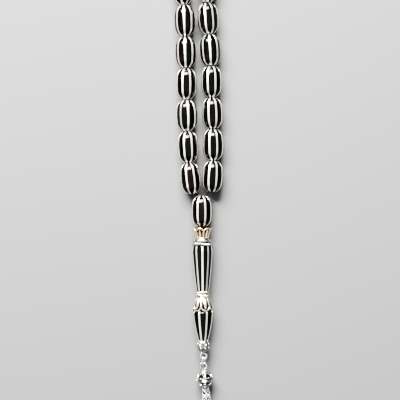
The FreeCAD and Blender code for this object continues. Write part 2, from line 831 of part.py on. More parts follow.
def room(turn):
    """How far a bead's end stays from a corner of the thread, so that two ends don't touch."""
    swing = math.radians(abs(turn) / 2)
    end = S["bead_end_radius"].value
    return max(LEAST_ROOM, (END_PLAY + end * math.sin(swing)) / math.cos(swing))


def side_route(start, headings, slack):
    """One side of the loop: its corners, and (kind, middle, heading) of what is on it."""
    corners, carried = [start], []
    kinds = ["bead"] * len(headings)
    kinds[MARKER_AFTER] = "marker"
    if slack:
        kinds[MARKER_AFTER + 1] = "slack"
    for i, (kind, heading) in enumerate(zip(kinds, headings)):
        before = room(heading - headings[i - 1]) if i else START_ROOM
        last = i + 1 == len(headings)
        after = CLOSING_ROOM if last else room(headings[i + 1] - heading)
        if kind == "slack":
            before, length, after = 0, SLACK, 0
        else:
            length = S[kind + "_length"].value
        middle = corners[-1] + along(heading, before + length / 2)
        carried.append((kind, middle, heading))
        corners.append(corners[-1] + along(heading, before + length + after))
    return corners, carried


def heading_of(start, end):
    return math.degrees(math.atan2(start.x - end.x, end.y - start.y))


left_corners, left_carried = side_route(LEFT_START, LEFT_HEADINGS, False)
right_corners, right_carried = side_route(RIGHT_START, RIGHT_HEADINGS, True)

# the two last beads close the loop: both have one length, so they meet over the gap's middle
span = right_corners[-1] - left_corners[-1]
closing = S["bead_length"].value + 2 * CLOSING_ROOM
rise = math.sqrt(closing ** 2 - (span.Length / 2) ** 2)
apex = left_corners[-1] + span / 2 + Vector(-span.y, span.x, 0).normalize() * rise
closers = [("bead", (corner + apex) / 2, heading_of(corner, apex))
           for corner in (left_corners[-1], right_corners[-1])]
carried = left_carried + closers + right_carried[::-1]

count = 0
markers = 0
for kind, middle, heading in carried:
    if kind == "marker":
        markers += 1
        gather(f"marker_{markers}", [marker_core, marker_hoop],
               lay(middle.x, middle.y, NECK.z, heading))
    elif kind == "bead":
        count += 1
        phase = PHASES.get(count, count * PHASE_STEP % STRIP_PITCH)
        gather(f"bead_{count:02d}", list(bead), lay(middle.x, middle.y, NECK.z, heading, phase))


def on_imame(across, height):
    """A point of the separator's own XZ plane, laid out."""
    return IMAME_TOP + along(IMAME_HEADING, height) + along(IMAME_HEADING - 90, across)


neck_spot = on_imame(0, NECK_HEIGHT)
gather("neck_bead", list(neck), lay(neck_spot.x, neck_spot.y, NECK.z, IMAME_HEADING,
                                   NECK_ROLL))


def on_axis(roll=0.0):
    return lay(IMAME_TOP.x, IMAME_TOP.y, NECK.z, IMAME_HEADING, roll)


place(imame_crown, on_axis(CROWN_ROLL))
place(imame_collar, on_axis())
gather("imame_upper_barrel", list(upper), on_axis(UPPER_ROLL))
place(imame_waist, on_axis())
place(imame_calyx, on_axis(CALYX_ROLL))
gather("imame_lower_barrel", list(lower), on_axis(LOWER_ROLL))
place(imame_tip, on_axis())
place(tip_eye_pin, on_axis())

# the link hangs on the lower wire of the tip's eye, and its other end holds the tassel's eye
hook = S["eye_wire"].value + S["link_play"].value + S["link_wire"].value
tip_wire = on_imame(0, tip_eye_centre.value - S["eye_radius"].value)
link_top = on_imame(0, tip_eye_centre.value - S["eye_radius"].value + hook)
link_climb = math.degrees(math.asin((NECK.z - TASSEL_Z) / S["link_reach"].value))
link_run = S["link_reach"].value * math.cos(math.radians(link_climb))
link_spot = link_top - along(IMAME_HEADING, link_run / 2)
link_spot.z = (NECK.z + TASSEL_Z) / 2
place(tassel_link, lay(link_spot.x, link_spot.y, link_spot.z, IMAME_HEADING, LINK_ROLL, link_climb))
tassel_pivot = link_top - along(IMAME_HEADING, link_run)
tassel_pivot.z = TASSEL_Z
tassel_spot = tassel_pivot - along(TASSEL_HEADING, S["eye_radius"].value - hook)


def on_tassel(roll=0.0):
    return lay(tassel_spot.x, tassel_spot.y, TASSEL_Z, TASSEL_HEADING, roll)


place(tassel_pin, on_tassel())
place(tassel_ball, on_tassel(BALL_ROLL))
place(tassel_cap, on_tassel())
place(chain_hanger, on_tassel())

CHAIN_FAN = [0.0, 7.4, 3.8, -3.8, -7.4]
DROP_Z = 1.32
hanger_spot = tassel_spot + along(TASSEL_HEADING, hanger_height.value)
right_hand = along(TASSEL_HEADING - 90, 1)
chain_hooks = []
for number, fan in enumerate(CHAIN_FAN):
    angle = math.radians(number * 360 / CHAINS)
    outward = right_hand * math.sin(angle) + UP * math.cos(angle)
    hook_spot = hanger_spot + outward * S["hanger_radius"].value
    length = -(drop_foot.value + S["drop_radius"].value)
    goal = hanger_spot - along(TASSEL_HEADING, length) + right_hand * fan
    goal.z = DROP_Z
    down = (goal - hook_spot).normalize()
    facing = (outward - down * outward.dot(down)).normalize()
    turn = Rotation(facing, (-down).cross(facing), -down, "ZXY")
    gather(f"tassel_chain_{number + 1}", [chain_across, chain_along, drop],
           Placement(hook_spot, turn))
    chain_hooks.append((hook_spot, down.cross(outward).normalize()))

# ---------------------------------------------------------------- thread and knot
THREAD_FIT = 0.01
knot_middle = lower_foot + S["counterbore_depth"] / 2 - S["weld"]
strand = S["strand_offset"].value
thread_low = knot_middle.value - S["knot_height"].value / 4
route = [on_imame(-strand, thread_low), on_imame(-strand, LEFT_EXIT)]
route += left_corners + [apex] + right_corners[::-1]
route += [on_imame(strand, RIGHT_EXIT), on_imame(strand, thread_low)]


def turn_at(before, corner, after):
    return math.degrees((corner - before).getAngle(after - corner))


route = [route[0]] + [corner for before, corner, after in zip(route, route[1:], route[2:])
                      if turn_at(before, corner, after) > NO_TURN] + [route[-1]]
edges, radii, here = [], [], route[0]
for before, corner, after in zip(route, route[1:], route[2:]):
    degrees = turn_at(before, corner, after)
    turn = math.radians(degrees)
    if degrees > SHARP_TURN:
        fold = TIGHT_FOLD * math.tan(turn / 2)
    else:
        shorter = min((corner - before).Length, (after - corner).Length)
        fold = min(BEND_REACH, BEND_SHARE * shorter)
    radii.append(fold / math.tan(turn / 2))
    into, out = (before - corner).normalize(), (after - corner).normalize()
    start, end = corner + into * fold, corner + out * fold
    inward = (into + out).normalize()
    middle = corner + inward * (radii[-1] / math.cos(turn / 2) - radii[-1])
    edges.append(Part.LineSegment(here, start).toShape())
    edges.append(Part.Arc(start, middle, end).toShape())
    here = end
edges.append(Part.LineSegment(here, route[-1]).toShape())
thread_line = doc.addObject("Part::Feature", "thread_line")
thread_line.Shape = Part.Wire(edges)
thread_section = primitive("Part::Circle", "thread_section",
                           Placement(route[0], Rotation(UP, route[1] - route[0])),
                           Radius=S["thread_radius"])
thread = doc.addObject("Part::Sweep", "thread")
thread.Label = "thread"
thread.Sections = [thread_section]
thread.Spine = (thread_line, [])
thread.Solid = True
nodes.append(thread)

knot_ball = primitive("Part::Ellipsoid", "knot_ball",
                      Placement(Vector(0, 0, knot_middle.value), Rotation()),
                      Radius1=S["knot_height"] / 2, Radius2=S["knot_radius"],
                      Radius3=S["knot_radius"])
strand_holes = []
for sign in (-1, 1):
    hole = rod(f"knot_hole_{sign + 2}", thread_low, S["knot_height"].value + knot_middle.value,
               S["thread_radius"] + THREAD_FIT)
    hole.Placement.Base.x = sign * strand
    strand_holes.append(hole)
thread_knot = doc.addObject("Part::Cut", "thread_knot")
thread_knot.Label = "thread_knot"
thread_knot.Base = knot_ball
thread_knot.Tool = fused("knot_holes", strand_holes)
place(thread_knot, on_axis())

# ---------------------------------------------------------------- check and write
doc.recompute()
for obj in doc.Objects:
    if "Invalid" in obj.State or "Error" in obj.State:
        raise RuntimeError(f"{obj.Name}: {obj.State}")
for node in nodes:
    if node.Shape.isNull() or not node.Shape.isValid():
        raise RuntimeError(f"{node.Label} has no valid shape")

section_area = math.pi * S["thread_radius"].value ** 2
length = thread_line.Shape.Length
print(f"thread: {length:.1f} mm, volume ratio {thread.Shape.Volume / section_area / length:.4f}")
print("thread radii:", [round(r, 1) for r in radii])
os.makedirs(OUT, exist_ok=True)
for node in nodes:
    node.Shape.exportStep(f"{OUT}/{node.Label}.step")
print(len(nodes), "nodes")
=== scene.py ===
"""Misbaha prayer beads: the visual model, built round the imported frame.

Lengths inside the builders are millimetres. Every piece is made about its own Z axis, which points
up the string, with -Y upwards and +X to the right, and is then laid on its CAD axis.
"""
import json
import math

import bmesh
import bpy
from mathutils import Matrix, Vector


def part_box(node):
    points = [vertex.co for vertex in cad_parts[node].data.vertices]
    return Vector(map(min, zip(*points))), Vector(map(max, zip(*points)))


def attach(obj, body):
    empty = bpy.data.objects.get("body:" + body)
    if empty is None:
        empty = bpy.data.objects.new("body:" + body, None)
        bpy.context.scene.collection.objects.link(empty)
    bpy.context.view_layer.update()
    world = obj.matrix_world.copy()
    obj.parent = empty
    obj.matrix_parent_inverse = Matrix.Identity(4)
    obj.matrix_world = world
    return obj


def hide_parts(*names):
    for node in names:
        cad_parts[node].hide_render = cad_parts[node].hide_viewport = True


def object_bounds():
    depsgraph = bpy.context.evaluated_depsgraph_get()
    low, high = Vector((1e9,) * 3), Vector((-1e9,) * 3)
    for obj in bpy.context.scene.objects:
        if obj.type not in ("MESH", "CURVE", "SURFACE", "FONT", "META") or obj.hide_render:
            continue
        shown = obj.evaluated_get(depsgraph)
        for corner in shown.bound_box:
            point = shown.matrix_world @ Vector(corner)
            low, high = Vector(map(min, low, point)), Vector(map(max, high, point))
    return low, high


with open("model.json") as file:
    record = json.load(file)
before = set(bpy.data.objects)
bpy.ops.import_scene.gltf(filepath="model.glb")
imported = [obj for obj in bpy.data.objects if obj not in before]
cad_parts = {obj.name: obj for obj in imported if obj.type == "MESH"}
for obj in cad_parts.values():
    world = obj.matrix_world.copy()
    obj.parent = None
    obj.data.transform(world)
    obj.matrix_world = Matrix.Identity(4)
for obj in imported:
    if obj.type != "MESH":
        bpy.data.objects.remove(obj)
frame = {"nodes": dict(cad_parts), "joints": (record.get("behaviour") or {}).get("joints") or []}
CAD_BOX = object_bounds()
MM = 0.001
UP = Vector((0, 0, 1))
JOINTS = {joint["child"]: joint for joint in frame["joints"]}


# ---------------------------------------------------------------- frames of the CAD bodies
def laid(spot, axis):
    """The frame of a piece whose Z axis lies along axis at spot, in metres."""
    axis = Vector(axis).normalized()
    right = axis.cross(UP).normalized()
    down = axis.cross(right)
    turn = Matrix((right, down, axis)).transposed()
    return Matrix.Translation(Vector(spot)) @ turn.to_4x4()


def turned_frame(body):
    """The frame of a body that turns about its own axis."""
    joint = JOINTS[body]
    return laid(joint["pos_m"], joint["axis"])


def sliding_frame(body):
    """The frame of a bead that slides towards the foot of the string."""
    low, high = (Vector(corner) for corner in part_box(body))
    return laid((low + high) / 2, -Vector(JOINTS[body]["axis"]))


IMAME = turned_frame("imame")
TASSEL = turned_frame("ball")


# ---------------------------------------------------------------- camera, floor and lights
VIEW_SIDE = 154.6
VIEW_HEIGHT = 620.0
SENSOR = 36.0
VIEW_FROM_NECK = Vector((-0.705, 4.32, 0))
neck_spot = Vector(JOINTS["neck_bead"]["pos_m"])
look_at = neck_spot + VIEW_FROM_NECK * MM

camera_data = bpy.data.cameras.new("camera")
camera_data.sensor_width = SENSOR
camera_data.lens = SENSOR * VIEW_HEIGHT / VIEW_SIDE
camera_data.clip_start = 0.01
camera = bpy.data.objects.new("camera", camera_data)
bpy.context.scene.collection.objects.link(camera)
camera.location = look_at + UP * VIEW_HEIGHT * MM
bpy.context.scene.camera = camera


KEY_WATTS, FILL_WATTS = 100.0, 1.0
SKY_STRENGTH = 1.4


def area_light(name, spot, aim, size, power):
    data = bpy.data.lights.new(name, "AREA")
    data.shape = "RECTANGLE"
    data.size, data.size_y = size
    data.energy = power
    lamp = bpy.data.objects.new(name, data)
    bpy.context.scene.collection.objects.link(lamp)
    lamp.location = spot
    lamp.rotation_euler = (Vector(aim) - Vector(spot)).to_track_quat("-Z", "Y").to_euler()


area_light("key", look_at + Vector((-0.16, 0.55, 0.51)), look_at, (0.64, 0.36), KEY_WATTS)
area_light("fill", look_at + Vector((-0.7, -0.3, 0.5)), look_at, (0.5, 0.5), FILL_WATTS)

# the studio: bright overhead and dim near the horizon, with no edge that a bead could mirror
world = bpy.data.worlds.new("studio")
world.use_nodes = True
sky = world.node_tree
sky_height = sky.nodes.new("ShaderNodeSeparateXYZ")
sky.links.new(sky.nodes.new("ShaderNodeTexCoord").outputs["Generated"], sky_height.inputs[0])
sky_ramp = sky.nodes.new("ShaderNodeValToRGB")
sky.links.new(sky_height.outputs["Z"], sky_ramp.inputs["Fac"])
sky.links.new(sky_ramp.outputs["Color"], sky.nodes["Background"].inputs["Color"])
sky_ramp.color_ramp.interpolation = "EASE"
sky_ramp.color_ramp.elements[0].color = (0.05, 0.053, 0.057, 1)
sky_ramp.color_ramp.elements[0].position = 0.25
sky_ramp.color_ramp.elements[1].color = (0.97, 0.98, 1.0, 1)
sky.nodes["Background"].inputs["Strength"].default_value = SKY_STRENGTH
bpy.context.scene.world = world
bpy.context.scene.view_settings.look = "AgX - High Contrast"


# ---------------------------------------------------------------- materials
class Nodes:
    """Short calls that make and join the nodes of one material."""

    def __init__(self, name):
        self.mat = bpy.data.materials.new(name)
        self.mat.use_nodes = True
        self.tree = self.mat.node_tree
        self.shader = self.tree.nodes["Principled BSDF"]

    def add(self, kind, **inputs):
        node = self.tree.nodes.new("ShaderNode" + kind)
        for key, value in inputs.items():
            self.put(node.inputs[key.replace("_", " ")], value)
        return node

    def put(self, socket, value):
        if isinstance(value, bpy.types.NodeSocket):
            self.tree.links.new(value, socket)
        else:
            socket.default_value = value

    def set(self, **inputs):
        for key, value in inputs.items():
            self.put(self.shader.inputs[key.replace("_", " ")], value)

    def ramp(self, factor, stops):
        node = self.tree.nodes.new("ShaderNodeValToRGB")
        self.put(node.inputs["Fac"], factor)
        points = node.color_ramp.elements
        while len(points) < len(stops):
            points.new(0.5)
        for point, (place, tone) in zip(points, stops):
            point.position = place
            point.color = (*tone, 1) if hasattr(tone, "__len__") else (tone, tone, tone, 1)
        return node.outputs["Color"]

    def noise(self, scale, detail=3.0, stretch=(1, 1, 1), seed=0.0):
        """Noise over the piece's own space, different on each piece."""
        coords = self.add("TexCoord").outputs["Object"]
        mapped = self.add("Mapping", Vector=coords, Scale=stretch).outputs["Vector"]
        piece = self.add("ObjectInfo").outputs["Random"]
        shift = self.tree.nodes.new("ShaderNodeMath")
        shift.operation = "MULTIPLY_ADD"
        for socket, value in zip(shift.inputs, (piece, 40.0, seed)):
            self.put(socket, value)
        texture = self.tree.nodes.new("ShaderNodeTexNoise")
        texture.noise_dimensions = "4D"
        for key, value in (("Vector", mapped), ("W", shift.outputs[0]), ("Scale", scale),
                           ("Detail", detail)):
            self.put(texture.inputs[key], value)
        return texture.outputs["Fac"]

    def mix(self, factor, first, second):
        node = self.tree.nodes.new("ShaderNodeMix")
        node.data_type = "RGBA"
        for index, value in ((0, factor), (6, first), (7, second)):
            self.put(node.inputs[index], value)
        return node.outputs[2]

    def bump(self, height, strength, distance):
        node = self.add("Bump", Height=height, Strength=strength, Distance=distance)
        self.set(Normal=node.outputs["Normal"])


def black_stone():
    made = Nodes("black_stone")
    grain = made.noise(260, 4, (1, 1, 0.22))
    tone = made.ramp(grain, [(0.50, (0.0004, 0.0003, 0.0003)), (0.66, (0.0028, 0.0011, 0.0007)),
                             (0.84, (0.014, 0.0045, 0.002))])
    polish = made.ramp(made.noise(900, 3, seed=5), [(0.35, 0.07), (0.7, 0.15)])
    made.set(Base_Color=tone, Roughness=polish, IOR=1.5, Specular_IOR_Level=0.2)
    made.bump(made.noise(1500, 2, seed=9), 0.05, 0.0001)
    return made.mat


def metal(name, bright, stained, shade_and_patina_dark, rough, reach=0.0006):
    """Worked metal: bright where it stands out, darkened in its hollows and creases, partly as old patina
    and partly as painted shade from an ambient-occlusion mask.
    """
    made = Nodes(name)
    stain = made.ramp(made.noise(420, 4), [(0.42, 0.0), (0.75, 1.0)])
    skin = made.mix(stain, (*bright, 1), (*stained, 1))
    # painted shade: ambient occlusion darkens the colour in creases and where parts meet
    occlusion_shade = made.tree.nodes.new("ShaderNodeAmbientOcclusion")
    occlusion_shade.samples = 6
    made.put(occlusion_shade.inputs["Distance"], reach)
    hollow = made.add("Attribute")
    hollow.attribute_name = "hollow"
    depth = made.tree.nodes.new("ShaderNodeMath")
    depth.operation = "SUBTRACT"
    made.put(depth.inputs[0], made.ramp(occlusion_shade.outputs["AO"], [(0.25, 0.0), (0.8, 1.0)]))
    made.put(depth.inputs[1], hollow.outputs["Fac"])
    depth.use_clamp = True
    # mixes towards the dark colour in hollows and seams: patina and painted shade
    colour = made.mix(depth.outputs[0], (*shade_and_patina_dark, 1), skin)
    gloss = made.ramp(made.noise(2200, 3, seed=3), [(0.3, rough - 0.06), (0.75, rough + 0.10)])
    made.set(Base_Color=colour, Metallic=1.0, Roughness=gloss)
    made.bump(made.noise(1600, 4, seed=7), 0.16, 0.0001)
    return made.mat


def cord_black():
    made = Nodes("black_thread")
    fibre = made.noise(2600, 5, (1, 1, 0.3))
    tone = made.ramp(fibre, [(0.3, (0.002, 0.0018, 0.0016)), (0.75, (0.009, 0.008, 0.007))])
    made.set(Base_Color=tone, Roughness=0.72, Specular_IOR_Level=0.3, Sheen_Weight=0.04)
    made.bump(fibre, 0.5, 0.00012)
    return made.mat


def floor_paint():
    made = Nodes("floor")
    made.set(Base_Color=(0.060, 0.0594, 0.0583, 1), Roughness=0.75)
    return made.mat


# each metal's third colour is the dark of its hollows and seams: patina and painted shade
MATERIALS = {
    "black_stone": black_stone(),
    "silver_inlay": metal("silver_inlay", (0.98, 0.96, 0.91), (0.90, 0.84, 0.74), (0.22, 0.16, 0.12),
                          0.34, 0.0002),
    "old_silver": metal("old_silver", (0.70, 0.69, 0.67), (0.34, 0.325, 0.295), (0.007, 0.006, 0.005),
                        0.17, 0.0009),
    "silver_gold": metal("silver_gold", (0.82, 0.76, 0.64), (0.62, 0.51, 0.35), (0.016, 0.012, 0.008),
                         0.19),
    "pale_gold": metal("pale_gold", (0.95, 0.81, 0.50), (0.80, 0.60, 0.30), (0.022, 0.015, 0.008),
                       0.19),
    "black_thread": cord_black(),
}

FLOOR_REACH = 6.0
FLOOR_GAP = 0.00002
corners = ((-1, -1), (1, -1), (1, 1), (-1, 1))
floor_mesh = bpy.data.meshes.new("floor")
floor_mesh.from_pydata([(x * FLOOR_REACH, y * FLOOR_REACH, 0) for x, y in corners], [], [(0, 1, 2, 3)])
floor_mesh.materials.append(floor_paint())
floor = bpy.data.objects.new("floor", floor_mesh)
floor.location.z = CAD_BOX[0][2] - FLOOR_GAP
bpy.context.scene.collection.objects.link(floor)


# ---------------------------------------------------------------- mesh building
def polar(angle, radius, height):
    """A point at an angle right of the top, in degrees."""
    turn = math.radians(angle)
    return Vector((radius * math.sin(turn), -radius * math.cos(turn), height))


class Shape:
    """Vertices in millimetres, each with a value from 0 to 1 that darkens it as patina and painted shade,
    and faces.
    """

    def __init__(self):
        self.points, self.hollow, self.faces = [], [], []

    def row(self, points, hollow=0.0):
        start = len(self.points)
        self.points += [Vector(p) for p in points]
        values = hollow if isinstance(hollow, (list, tuple)) else [hollow] * len(points)
        self.hollow += values
        return list(range(start, start + len(points)))

    def skin(self, rows, round_rows=True, loop=False):
        """Quads between rows of equal length; the rows may be closed, and the run of rows too."""
        pairs = list(zip(rows, rows[1:])) + ([(rows[-1], rows[0])] if loop else [])
        for low, high in pairs:
            count = len(low)
            for i in range(count if round_rows else count - 1):
                j = (i + 1) % count
                self.faces.append((low[i], low[j], high[j], high[i]))

    def cap(self, row, flip=False):
        self.faces.append(tuple(reversed(row)) if flip else tuple(row))

    def lathe(self, profile, sides=96, hollow=0.0, wave=None):
        """Turns a profile of (radius, height); wave(angle, radius, height) adds to the radius."""
        rows = []
        for radius, height in profile:
            ring = []
            for i in range(sides):
                angle = 360 * i / sides
                extra = wave(angle, radius, height) if wave else 0
                ring.append(polar(angle, radius + extra, height))
            rows.append(self.row(ring, hollow))
        self.skin(rows)
        for row, flip in ((rows[0], True), (rows[-1], False)):
            self.cap(row, flip)

    def tube(self, path, radius, sides=10, closed=False, face=None):
        """A wire along a path. radius may be a list; face is the way its first side looks."""
        count = len(path)
        sizes = radius if isinstance(radius, (list, tuple)) else [radius] * count
        rows, side = [], None
        for i, spot in enumerate(path):
            before = path[i - 1] if closed or i else path[0]
            after = path[(i + 1) % count] if closed or i + 1 < count else path[-1]
            ahead = (after - before).normalized()
            if face:
                side = face
            elif side is None:
                side = Vector((0, 0, 1)) if abs(ahead.z) < 0.9 else Vector((1, 0, 0))
            side = (side - ahead * side.dot(ahead)).normalized()
            across = ahead.cross(side)
            ring = []
            for k in range(sides):
                turn = 2 * math.pi * k / sides
                ring.append(spot + (side * math.cos(turn) + across * math.sin(turn)) * sizes[i])
            rows.append(self.row(ring))
        self.skin(rows, loop=closed)
        if not closed:
            self.cap(rows[0], True)
            self.cap(rows[-1])

    def ball(self, centre, radius, hollow=0.0, sides=12, rings=8):
        rows = []
        for j in range(rings + 1):
            tilt = math.pi * (j / rings - 0.5)
            size, rise = max(math.cos(tilt) * radius, radius * 0.02), math.sin(tilt) * radius
            rows.append(self.row([centre + Vector((size * math.cos(2 * math.pi * k / sides),
                                                   size * math.sin(2 * math.pi * k / sides), rise))
                                  for k in range(sides)], hollow))
        self.skin(rows)
        self.cap(rows[0], True)
        self.cap(rows[-1])

    def mesh(self, name, crease=40):
        data = bpy.data.meshes.new(name)
        data.from_pydata([p * MM for p in self.points], [], self.faces)
        data.attributes.new("hollow", "FLOAT", "POINT")
        data.attributes["hollow"].data.foreach_set("value", self.hollow)
        work = bmesh.new()
        work.from_mesh(data)
        bmesh.ops.remove_doubles(work, verts=work.verts, dist=1e-7)
        bmesh.ops.dissolve_degenerate(work, edges=work.edges, dist=1e-8)
        bmesh.ops.recalc_face_normals(work, faces=work.faces)
        work.to_mesh(data)
        work.free()
        data.shade_smooth()
        data.set_sharp_from_angle(angle=math.radians(crease))
        return data


def piece(name, mesh, place, body, slot, nodes=()):
    """One visible piece: its mesh laid in its frame, riding on its body."""
    data = mesh.mesh(name) if isinstance(mesh, Shape) else mesh
    if not data.materials:
        data.materials.append(MATERIALS[slot])
    obj = bpy.data.objects.new(name, data)
    bpy.context.scene.collection.objects.link(obj)
    obj.matrix_world = place
    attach(obj, body)
    if nodes:
        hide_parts(*nodes)
    return obj


def arc(start, end, bulge, steps):
    """Points of an arc that stands off its chord by bulge, outwards on the way up."""
    (r1, z1), (r2, z2) = start, end
    if abs(bulge) < 1e-6:
        return [(r1 + (r2 - r1) * i / steps, z1 + (z2 - z1) * i / steps) for i in range(steps + 1)]
    chord = math.hypot(r2 - r1, z2 - z1)
    out = ((z2 - z1) / chord, (r1 - r2) / chord)
    radius = (chord ** 2 / 4 + bulge ** 2) / (2 * abs(bulge))
    half = math.asin(min(1, chord / 2 / radius))
    sign = 1 if bulge > 0 else -1
    points = []
    for i in range(steps + 1):
        turn = half * (2 * i / steps - 1)
        along, lift = radius * math.sin(turn), radius * (math.cos(turn) - math.cos(half)) * sign
        step = along / chord + 0.5
        points.append((r1 + (r2 - r1) * step + out[0] * lift, z1 + (z2 - z1) * step + out[1] * lift))
    return points


# ---------------------------------------------------------------- barrels with strips let in
STRIP = 0.72
GROOVE = 0.78
GROOVE_DEPTH = 0.14
PROUD = 0.012


def inlaid_core(skin, before, after, strips, roll):
    """A turned body with shallow grooves along its skin; before and after are plain rows."""
    shape = Shape()
    rows = []
    fields = 7
    plan = [(p, 0.0) for p in before] + [(p, GROOVE_DEPTH) for p in skin] + [(p, 0.0) for p in after]
    for (radius, height), depth in plan:
        half = math.degrees(math.asin(min(0.9, GROOVE / 2 / max(radius, skin[0][0]))))
        pitch = 360 / strips
        ring = []
        for k in range(strips):
            middle = roll + k * pitch
            floor_radius = radius - depth
            for turn, size in ((-half, radius), (-half, floor_radius), (0, floor_radius),
                               (half, floor_radius), (half, radius)):
                ring.append(polar(middle + turn, size, height))
            for step in range(1, fields):
                ring.append(polar(middle + half + (pitch - 2 * half) * step / fields, radius, height))
        rows.append(shape.row(ring))
    shape.skin(rows)
    shape.cap(rows[0], True)
    shape.cap(rows[-1])
    return shape


def inlaid_strips(skin, strips, roll):
    """The metal strips: flush bands with softened edges."""
    shape = Shape()
    edge = STRIP / 2
    for k in range(strips):
        rows = []
        for radius, height in skin:
            turn = math.radians(roll + k * 360 / strips)
            right = Vector((math.cos(turn), math.sin(turn), 0))
            out = polar(roll + k * 360 / strips, 1, 0)
            ring = []
            for x, drop in ((-edge, 0.06), (-edge * 0.9, 0.0), (-edge * 0.5, 0.0), (0, 0.0),
                            (edge * 0.5, 0.0), (edge * 0.9, 0.0), (edge, 0.06)):
                lift = math.sqrt(max(radius ** 2 - x ** 2, 0.01)) + PROUD - drop
                ring.append(out * lift + right * x + UP * height)
            base = radius - GROOVE_DEPTH
            for x in (edge, -edge):
                ring.append(out * base + right * x + UP * height)
            rows.append(shape.row(ring))
        shape.skin(rows)
        shape.cap(rows[0], True)
        shape.cap(rows[-1])
    return shape


BEAD_HALF = 5.95
END_RADIUS = 1.7
SHOULDER = (3.75, 3.3)
bead_skin = (arc((END_RADIUS, -BEAD_HALF), (SHOULDER[0], -SHOULDER[1]), 0.34, 14)[:-1]
             + arc((SHOULDER[0], -SHOULDER[1]), SHOULDER, 0.25, 18)[:-1]
             + arc(SHOULDER, (END_RADIUS, BEAD_HALF), 0.34, 14))


def bead_ends(bore, mouth):
    """The rows inside the foot's bore and over its rounded lip, and the same for the head."""
    foot = [(bore, -2.0), (bore, -BEAD_HALF + 0.45), (mouth, -BEAD_HALF + 0.05),
            (mouth + 0.08, -BEAD_HALF - 0.02), (END_RADIUS - 0.12, -BEAD_HALF - 0.02)]
    return foot, [(r, -z) for r, z in reversed(foot)]


BEADS = 33
UP_STRAND = 17
MARKER_AFTER = {1: 11, 2: 22}
SLIDING = "bead_22"
BEAD_STRIPS = 8
BORE, MOUTH = 0.7, 1.15
PAIR_BORE, PAIR_MOUTH = 1.2, 1.35
# how far each bead is rolled about the thread, in degrees; the others follow PHASE_STEP
PHASES = {1: -22, 2: -22, 3: 8, 4: -22, 5: -4, 6: -4, 28: -16, 29: -1, 30: -22, 31: -22,
          32: -22, 33: -22}
PHASE_STEP = 17
STRIP_PITCH = 45
NECK_ROLL = -25

foot_rows, head_rows = bead_ends(BORE, MOUTH)
core_mesh = inlaid_core(bead_skin, foot_rows, head_rows, BEAD_STRIPS, 0).mesh("bead_core", 30)
strip_mesh = inlaid_strips(bead_skin, BEAD_STRIPS, 0).mesh("bead_strips", 50)
bead_frames = {}
for number in range(1, BEADS + 1):
    body = f"bead_{number:02d}"
    place = sliding_frame(body) if body == SLIDING else turned_frame(body)
    bead_frames[number] = place
    phase = PHASES.get(number, number * PHASE_STEP % STRIP_PITCH)
    rolled = place @ Matrix.Rotation(math.radians(phase), 4, "Z")
    piece(f"{body}_core", core_mesh, rolled, body, "black_stone", [body])
    piece(f"{body}_strips", strip_mesh, rolled, body, "silver_inlay")

neck_place = turned_frame("neck_bead") @ Matrix.Rotation(math.radians(NECK_ROLL), 4, "Z")
foot_rows, head_rows = bead_ends(PAIR_BORE, PAIR_MOUTH)
piece("neck_bead_core", inlaid_core(bead_skin, foot_rows, head_rows, BEAD_STRIPS, 0), neck_place,
      "neck_bead", "black_stone", ["neck_bead"])
piece("neck_bead_strips", strip_mesh, neck_place, "neck_bead", "silver_inlay")

# marker discs
hoop_skin = arc((3.76, -0.36), (3.76, 0.36), 0.05, 8)
side = arc((2.4, -1.5), (3.8, -0.4), 0.25, 8)
marker_profile = ([(0.7, -0.5), (0.7, -1.05), (1.15, -1.47), (1.3, -1.5)] + side
                  + [(3.62, -0.39), (3.62, 0.39)] + [(r, -z) for r, z in reversed(side)]
                  + [(1.3, 1.5), (1.15, 1.47), (0.7, 1.05), (0.7, 0.5)])
for number in MARKER_AFTER:
    place = turned_frame(f"marker_{number}")
    disc = Shape()
    disc.lathe(marker_profile)
    piece(f"marker_{number}_core", disc, place, f"marker_{number}", "black_stone", [f"marker_{number}"])
    hoop = Shape()
    hoop.lathe([(3.64, -0.36)] + hoop_skin + [(3.64, 0.36)])
    piece(f"marker_{number}_hoop", hoop, place, f"marker_{number}", "silver_inlay")

# the separator's two barrels
UPPER_HEAD, UPPER_FOOT = -7.08, -24.28
LOWER_HEAD, LOWER_FOOT = -32.06, -43.33
UPPER_STRIPS, LOWER_STRIPS = 10, 8
UPPER_ROLL, LOWER_ROLL = 0.0, 22.5
UPPER_BORE, LOWER_BORE = 1.9, 1.4
upper_skin = arc((2.5, UPPER_FOOT), (4.0, UPPER_HEAD - 2.2), 0.12, 26)[:-1] + arc(
    (4.0, UPPER_HEAD - 2.2), (3.75, UPPER_HEAD), 0.04, 8)
lower_skin = arc((1.95, LOWER_FOOT), (4.0, LOWER_HEAD - 0.6), 0.28, 26)[:-1] + arc(
    (4.0, LOWER_HEAD - 0.6), (3.45, LOWER_HEAD), 0.08, 5)
for name, skin, strips, roll, inner in (
        ("upper", upper_skin, UPPER_STRIPS, UPPER_ROLL, UPPER_BORE),
        ("lower", lower_skin, LOWER_STRIPS, LOWER_ROLL, LOWER_BORE)):
    (low_r, low_z), (high_r, high_z) = skin[0], skin[-1]
    before = [(inner, low_z + 0.3), (inner, low_z - 0.01), (low_r - 0.06, low_z - 0.01)]
    after = [(high_r - 0.06, high_z + 0.01), (inner, high_z + 0.01), (inner, high_z - 0.3)]
    node = f"imame_{name}_barrel"
    piece(f"{node}_core", inlaid_core(skin, before, after, strips, roll), IMAME, "imame",
          "black_stone", [node])
    piece(f"{node}_strips", inlaid_strips(skin, strips, roll), IMAME, "imame", "silver_inlay")


# ---------------------------------------------------------------- cups of petals
PETALS = 6


def cup_radius(base, rim, flare):
    """Radius of the cup's wall over its height from 0 at the base to 1 at the rim."""
    return lambda t: base + (rim - base) * t + 4 * flare * t * (1 - t)


